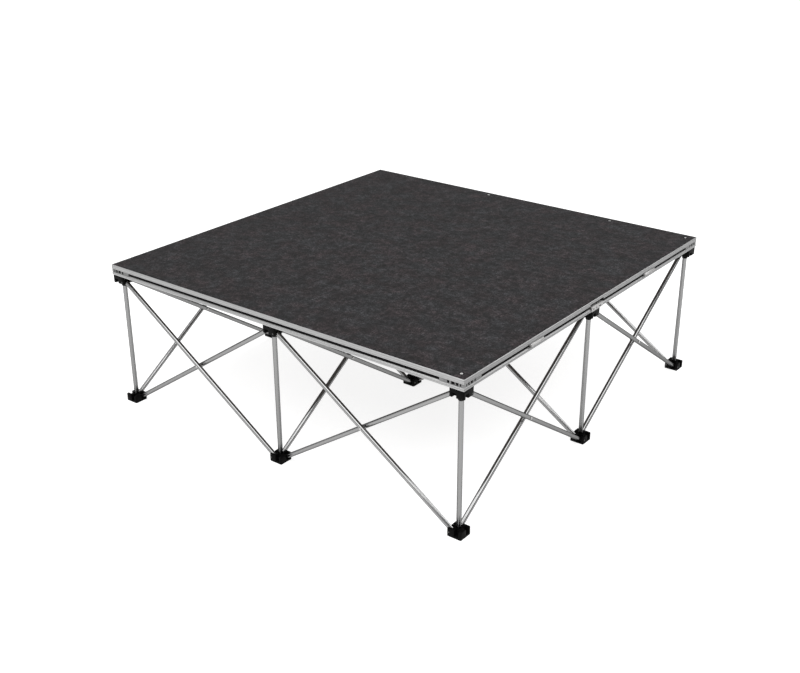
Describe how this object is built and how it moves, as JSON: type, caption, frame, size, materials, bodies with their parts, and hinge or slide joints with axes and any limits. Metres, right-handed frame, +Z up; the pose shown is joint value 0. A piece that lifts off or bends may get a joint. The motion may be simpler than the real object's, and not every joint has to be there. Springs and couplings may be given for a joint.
{
  "type": "stage riser platform",
  "caption": "Square carpeted stage deck with aluminium edge rails on a folding scissor frame of tubes, moulded heads and moulded feet.",
  "frame": {"origin": "on the floor, at the middle of the underside of the centre foot", "axes": "+Z up; -Y is the front edge and +X the right-hand edge, which carries the joining tongues and the catch plate"},
  "size_m": [1.226, 1.22, 0.432],
  "materials": {
    "carpet": "needle-punched, matte",
    "plywood": "film-faced, satin",
    "rail": "satin anodised",
    "tube": "satin",
    "steel": "satin",
    "nylon": "satin"
  },
  "bodies": {
    "centre_head": {"head_c": "nylon", "post_c": "tube"},
    "deck": {"deck_panel": "plywood", "deck_carpet": "carpet", "edge_rail_front": "rail", "edge_rail_right": "rail", "edge_rail_back": "rail", "edge_rail_left": "rail", "joining_tongue_1": "steel", "joining_tongue_2": "steel", "catch_plate": "steel"},
    "head_fl": {"head_fl": "nylon", "post_fl": "tube"},
    "foot_fl": {"foot_fl": "nylon"},
    "head_fm": {"head_fm": "nylon", "post_fm": "tube"},
    "foot_fm": {"foot_fm": "nylon"},
    "head_fr": {"head_fr": "nylon", "post_fr": "tube"},
    "foot_fr": {"foot_fr": "nylon"},
    "head_ml": {"head_ml": "nylon", "post_ml": "tube"},
    "foot_ml": {"foot_ml": "nylon"},
    "foot_c": {"foot_c": "nylon"},
    "head_mr": {"head_mr": "nylon", "post_mr": "tube"},
    "foot_mr": {"foot_mr": "nylon"},
    "head_bl": {"head_bl": "nylon", "post_bl": "tube"},
    "foot_bl": {"foot_bl": "nylon"},
    "head_bm": {"head_bm": "nylon", "post_bm": "tube"},
    "foot_bm": {"foot_bm": "nylon"},
    "head_br": {"head_br": "nylon", "post_br": "tube"},
    "foot_br": {"foot_br": "nylon"},
    "bar_fl_fm": {"bar_fl_fm": "tube"},
    "bar_fl_ml": {"bar_fl_ml": "tube"},
    "bar_fm_fl": {"bar_fm_fl": "tube"},
    "bar_fm_fr": {"bar_fm_fr": "tube"},
    "bar_fm_c": {"bar_fm_c": "tube"},
    "bar_fr_fm": {"bar_fr_fm": "tube"},
    "bar_fr_mr": {"bar_fr_mr": "tube"},
    "bar_ml_fl": {"bar_ml_fl": "tube"},
    "bar_ml_c": {"bar_ml_c": "tube"},
    "bar_ml_bl": {"bar_ml_bl": "tube"},
    "bar_c_fm": {"bar_c_fm": "tube"},
    "bar_c_ml": {"bar_c_ml": "tube"},
    "bar_c_mr": {"bar_c_mr": "tube"},
    "bar_c_bm": {"bar_c_bm": "tube"},
    "bar_mr_fr": {"bar_mr_fr": "tube"},
    "bar_mr_c": {"bar_mr_c": "tube"},
    "bar_mr_br": {"bar_mr_br": "tube"},
    "bar_bl_ml": {"bar_bl_ml": "tube"},
    "bar_bl_bm": {"bar_bl_bm": "tube"},
    "bar_bm_c": {"bar_bm_c": "tube"},
    "bar_bm_bl": {"bar_bm_bl": "tube"},
    "bar_bm_br": {"bar_bm_br": "tube"},
    "bar_br_mr": {"bar_br_mr": "tube"},
    "bar_br_bm": {"bar_br_bm": "tube"}
  },
  "joints": [
    {"name": "fold", "type": "hinge", "parent": "foot_c", "child": "bar_mr_c", "pos_m": [0.015, 0, 0.012], "axis": [0, -1, 0], "range_deg": [0, 54]},
    {"name": "rivet_c_mr", "type": "hinge", "parent": "bar_mr_c", "child": "bar_c_mr", "pos_m": [0.294, 0, 0.198], "axis": [0, 1, 0], "range_deg": [0, 108]},
    {"name": "bar_mr_c_to_head_mr", "type": "hinge", "parent": "bar_mr_c", "child": "head_mr", "pos_m": [0.573, 0, 0.384], "axis": [0, 1, 0], "range_deg": [0, 54]},
    {"name": "bar_c_mr_to_foot_mr", "type": "hinge", "parent": "bar_c_mr", "child": "foot_mr", "pos_m": [0.573, 0, 0.012], "axis": [0, -1, 0], "range_deg": [0, 54]},
    {"name": "foot_c_to_bar_bm_c", "type": "hinge", "parent": "foot_c", "child": "bar_bm_c", "pos_m": [0, 0.015, 0.012], "axis": [1, 0, 0], "range_deg": [0, 54]},
    {"name": "rivet_c_bm", "type": "hinge", "parent": "bar_bm_c", "child": "bar_c_bm", "pos_m": [0, 0.294, 0.198], "axis": [-1, 0, 0], "range_deg": [0, 108]},
    {"name": "bar_bm_c_to_head_bm", "type": "hinge", "parent": "bar_bm_c", "child": "head_bm", "pos_m": [0, 0.573, 0.384], "axis": [-1, 0, 0], "range_deg": [0, 54]},
    {"name": "bar_c_bm_to_foot_bm", "type": "hinge", "parent": "bar_c_bm", "child": "foot_bm", "pos_m": [0, 0.573, 0.012], "axis": [1, 0, 0], "range_deg": [0, 54]},
    {"name": "foot_c_to_bar_ml_c", "type": "hinge", "parent": "foot_c", "child": "bar_ml_c", "pos_m": [-0.015, 0, 0.012], "axis": [0, 1, 0], "range_deg": [0, 54]},
    {"name": "rivet_c_ml", "type": "hinge", "parent": "bar_ml_c", "child": "bar_c_ml", "pos_m": [-0.294, 0, 0.198], "axis": [0, -1, 0], "range_deg": [0, 108]},
    {"name": "bar_ml_c_to_head_ml", "type": "hinge", "parent": "bar_ml_c", "child": "head_ml", "pos_m": [-0.573, 0, 0.384], "axis": [0, -1, 0], "range_deg": [0, 54]},
    {"name": "bar_c_ml_to_foot_ml", "type": "hinge", "parent": "bar_c_ml", "child": "foot_ml", "pos_m": [-0.573, 0, 0.012], "axis": [0, 1, 0], "range_deg": [0, 54]},
    {"name": "foot_c_to_bar_fm_c", "type": "hinge", "parent": "foot_c", "child": "bar_fm_c", "pos_m": [0, -0.015, 0.012], "axis": [-1, 0, 0], "range_deg": [0, 54]},
    {"name": "rivet_c_fm", "type": "hinge", "parent": "bar_fm_c", "child": "bar_c_fm", "pos_m": [0, -0.294, 0.198], "axis": [1, 0, 0], "range_deg": [0, 108]},
    {"name": "bar_fm_c_to_head_fm", "type": "hinge", "parent": "bar_fm_c", "child": "head_fm", "pos_m": [0, -0.573, 0.384], "axis": [1, 0, 0], "range_deg": [0, 54]},
    {"name": "bar_c_fm_to_foot_fm", "type": "hinge", "parent": "bar_c_fm", "child": "foot_fm", "pos_m": [0, -0.573, 0.012], "axis": [-1, 0, 0], "range_deg": [0, 54]},
    {"name": "bar_c_fm_to_centre_head", "type": "hinge", "parent": "bar_c_fm", "child": "centre_head", "pos_m": [0, -0.015, 0.384], "axis": [-1, 0, 0], "range_deg": [0, 54]},
    {"name": "foot_fm_to_bar_fl_fm", "type": "hinge", "parent": "foot_fm", "child": "bar_fl_fm", "pos_m": [-0.015, -0.588, 0.012], "axis": [0, 1, 0], "range_deg": [0, 54]},
    {"name": "rivet_fm_fl", "type": "hinge", "parent": "bar_fl_fm", "child": "bar_fm_fl", "pos_m": [-0.294, -0.588, 0.198], "axis": [0, -1, 0], "range_deg": [0, 108]},
    {"name": "bar_fl_fm_to_head_fl", "type": "hinge", "parent": "bar_fl_fm", "child": "head_fl", "pos_m": [-0.573, -0.588, 0.384], "axis": [0, -1, 0], "range_deg": [0, 54]},
    {"name": "bar_fm_fl_to_foot_fl", "type": "hinge", "parent": "bar_fm_fl", "child": "foot_fl", "pos_m": [-0.573, -0.588, 0.012], "axis": [0, 1, 0], "range_deg": [0, 54]},
    {"name": "foot_fm_to_bar_fr_fm", "type": "hinge", "parent": "foot_fm", "child": "bar_fr_fm", "pos_m": [0.015, -0.588, 0.012], "axis": [0, -1, 0], "range_deg": [0, 54]},
    {"name": "rivet_fm_fr", "type": "hinge", "parent": "bar_fr_fm", "child": "bar_fm_fr", "pos_m": [0.294, -0.588, 0.198], "axis": [0, 1, 0], "range_deg": [0, 108]},
    {"name": "bar_fr_fm_to_head_fr", "type": "hinge", "parent": "bar_fr_fm", "child": "head_fr", "pos_m": [0.573, -0.588, 0.384], "axis": [0, 1, 0], "range_deg": [0, 54]},
    {"name": "bar_fm_fr_to_foot_fr", "type": "hinge", "parent": "bar_fm_fr", "child": "foot_fr", "pos_m": [0.573, -0.588, 0.012], "axis": [0, -1, 0], "range_deg": [0, 54]},
    {"name": "foot_bm_to_bar_bl_bm", "type": "hinge", "parent": "foot_bm", "child": "bar_bl_bm", "pos_m": [-0.015, 0.588, 0.012], "axis": [0, 1, 0], "range_deg": [0, 54]},
    {"name": "rivet_bm_bl", "type": "hinge", "parent": "bar_bl_bm", "child": "bar_bm_bl", "pos_m": [-0.294, 0.588, 0.198], "axis": [0, -1, 0], "range_deg": [0, 108]},
    {"name": "bar_bl_bm_to_head_bl", "type": "hinge", "parent": "bar_bl_bm", "child": "head_bl", "pos_m": [-0.573, 0.588, 0.384], "axis": [0, -1, 0], "range_deg": [0, 54]},
    {"name": "bar_bm_bl_to_foot_bl", "type": "hinge", "parent": "bar_bm_bl", "child": "foot_bl", "pos_m": [-0.573, 0.588, 0.012], "axis": [0, 1, 0], "range_deg": [0, 54]},
    {"name": "foot_bm_to_bar_br_bm", "type": "hinge", "parent": "foot_bm", "child": "bar_br_bm", "pos_m": [0.015, 0.588, 0.012], "axis": [0, -1, 0], "range_deg": [0, 54]},
    {"name": "rivet_bm_br", "type": "hinge", "parent": "bar_br_bm", "child": "bar_bm_br", "pos_m": [0.294, 0.588, 0.198], "axis": [0, 1, 0], "range_deg": [0, 108]},
    {"name": "bar_br_bm_to_head_br", "type": "hinge", "parent": "bar_br_bm", "child": "head_br", "pos_m": [0.573, 0.588, 0.384], "axis": [0, 1, 0], "range_deg": [0, 54]},
    {"name": "bar_bm_br_to_foot_br", "type": "hinge", "parent": "bar_bm_br", "child": "foot_br", "pos_m": [0.573, 0.588, 0.012], "axis": [0, -1, 0], "range_deg": [0, 54]},
    {"name": "foot_ml_to_bar_fl_ml", "type": "hinge", "parent": "foot_ml", "child": "bar_fl_ml", "pos_m": [-0.588, -0.015, 0.012], "axis": [-1, 0, 0], "range_deg": [0, 54]},
    {"name": "rivet_ml_fl", "type": "hinge", "parent": "bar_fl_ml", "child": "bar_ml_fl", "pos_m": [-0.588, -0.294, 0.198], "axis": [1, 0, 0], "range_deg": [0, 108]},
    {"name": "foot_ml_to_bar_bl_ml", "type": "hinge", "parent": "foot_ml", "child": "bar_bl_ml", "pos_m": [-0.588, 0.015, 0.012], "axis": [1, 0, 0], "range_deg": [0, 54]},
    {"name": "rivet_ml_bl", "type": "hinge", "parent": "bar_bl_ml", "child": "bar_ml_bl", "pos_m": [-0.588, 0.294, 0.198], "axis": [-1, 0, 0], "range_deg": [0, 108]},
    {"name": "foot_mr_to_bar_fr_mr", "type": "hinge", "parent": "foot_mr", "child": "bar_fr_mr", "pos_m": [0.588, -0.015, 0.012], "axis": [-1, 0, 0], "range_deg": [0, 54]},
    {"name": "rivet_mr_fr", "type": "hinge", "parent": "bar_fr_mr", "child": "bar_mr_fr", "pos_m": [0.588, -0.294, 0.198], "axis": [1, 0, 0], "range_deg": [0, 108]},
    {"name": "foot_mr_to_bar_br_mr", "type": "hinge", "parent": "foot_mr", "child": "bar_br_mr", "pos_m": [0.588, 0.015, 0.012], "axis": [1, 0, 0], "range_deg": [0, 54]},
    {"name": "rivet_mr_br", "type": "hinge", "parent": "bar_br_mr", "child": "bar_mr_br", "pos_m": [0.588, 0.294, 0.198], "axis": [-1, 0, 0], "range_deg": [0, 108]},
    {"name": "deck_lift_off", "type": "slide", "parent": "centre_head", "child": "deck", "axis": [0, 0, 1], "range_m": [0, 0.25]}
  ],
  "couplings": [
    {"joint": "rivet_c_mr", "follows": "fold", "ratio": 2},
    {"joint": "bar_mr_c_to_head_mr", "follows": "fold", "ratio": 1},
    {"joint": "bar_c_mr_to_foot_mr", "follows": "fold", "ratio": 1},
    {"joint": "foot_c_to_bar_bm_c", "follows": "fold", "ratio": 1},
    {"joint": "rivet_c_bm", "follows": "fold", "ratio": 2},
    {"joint": "bar_bm_c_to_head_bm", "follows": "fold", "ratio": 1},
    {"joint": "bar_c_bm_to_foot_bm", "follows": "fold", "ratio": 1},
    {"joint": "foot_c_to_bar_ml_c", "follows": "fold", "ratio": 1},
    {"joint": "rivet_c_ml", "follows": "fold", "ratio": 2},
    {"joint": "bar_ml_c_to_head_ml", "follows": "fold", "ratio": 1},
    {"joint": "bar_c_ml_to_foot_ml", "follows": "fold", "ratio": 1},
    {"joint": "foot_c_to_bar_fm_c", "follows": "fold", "ratio": 1},
    {"joint": "rivet_c_fm", "follows": "fold", "ratio": 2},
    {"joint": "bar_fm_c_to_head_fm", "follows": "fold", "ratio": 1},
    {"joint": "bar_c_fm_to_foot_fm", "follows": "fold", "ratio": 1},
    {"joint": "bar_c_fm_to_centre_head", "follows": "fold", "ratio": 1},
    {"joint": "foot_fm_to_bar_fl_fm", "follows": "fold", "ratio": 1},
    {"joint": "rivet_fm_fl", "follows": "fold", "ratio": 2},
    {"joint": "bar_fl_fm_to_head_fl", "follows": "fold", "ratio": 1},
    {"joint": "bar_fm_fl_to_foot_fl", "follows": "fold", "ratio": 1},
    {"joint": "foot_fm_to_bar_fr_fm", "follows": "fold", "ratio": 1},
    {"joint": "rivet_fm_fr", "follows": "fold", "ratio": 2},
    {"joint": "bar_fr_fm_to_head_fr", "follows": "fold", "ratio": 1},
    {"joint": "bar_fm_fr_to_foot_fr", "follows": "fold", "ratio": 1},
    {"joint": "foot_bm_to_bar_bl_bm", "follows": "fold", "ratio": 1},
    {"joint": "rivet_bm_bl", "follows": "fold", "ratio": 2},
    {"joint": "bar_bl_bm_to_head_bl", "follows": "fold", "ratio": 1},
    {"joint": "bar_bm_bl_to_foot_bl", "follows": "fold", "ratio": 1},
    {"joint": "foot_bm_to_bar_br_bm", "follows": "fold", "ratio": 1},
    {"joint": "rivet_bm_br", "follows": "fold", "ratio": 2},
    {"joint": "bar_br_bm_to_head_br", "follows": "fold", "ratio": 1},
    {"joint": "bar_bm_br_to_foot_br", "follows": "fold", "ratio": 1},
    {"joint": "foot_ml_to_bar_fl_ml", "follows": "fold", "ratio": 1},
    {"joint": "rivet_ml_fl", "follows": "fold", "ratio": 2},
    {"joint": "foot_ml_to_bar_bl_ml", "follows": "fold", "ratio": 1},
    {"joint": "rivet_ml_bl", "follows": "fold", "ratio": 2},
    {"joint": "foot_mr_to_bar_fr_mr", "follows": "fold", "ratio": 1},
    {"joint": "rivet_mr_fr", "follows": "fold", "ratio": 2},
    {"joint": "foot_mr_to_bar_br_mr", "follows": "fold", "ratio": 1},
    {"joint": "rivet_mr_br", "follows": "fold", "ratio": 2}
  ]
}
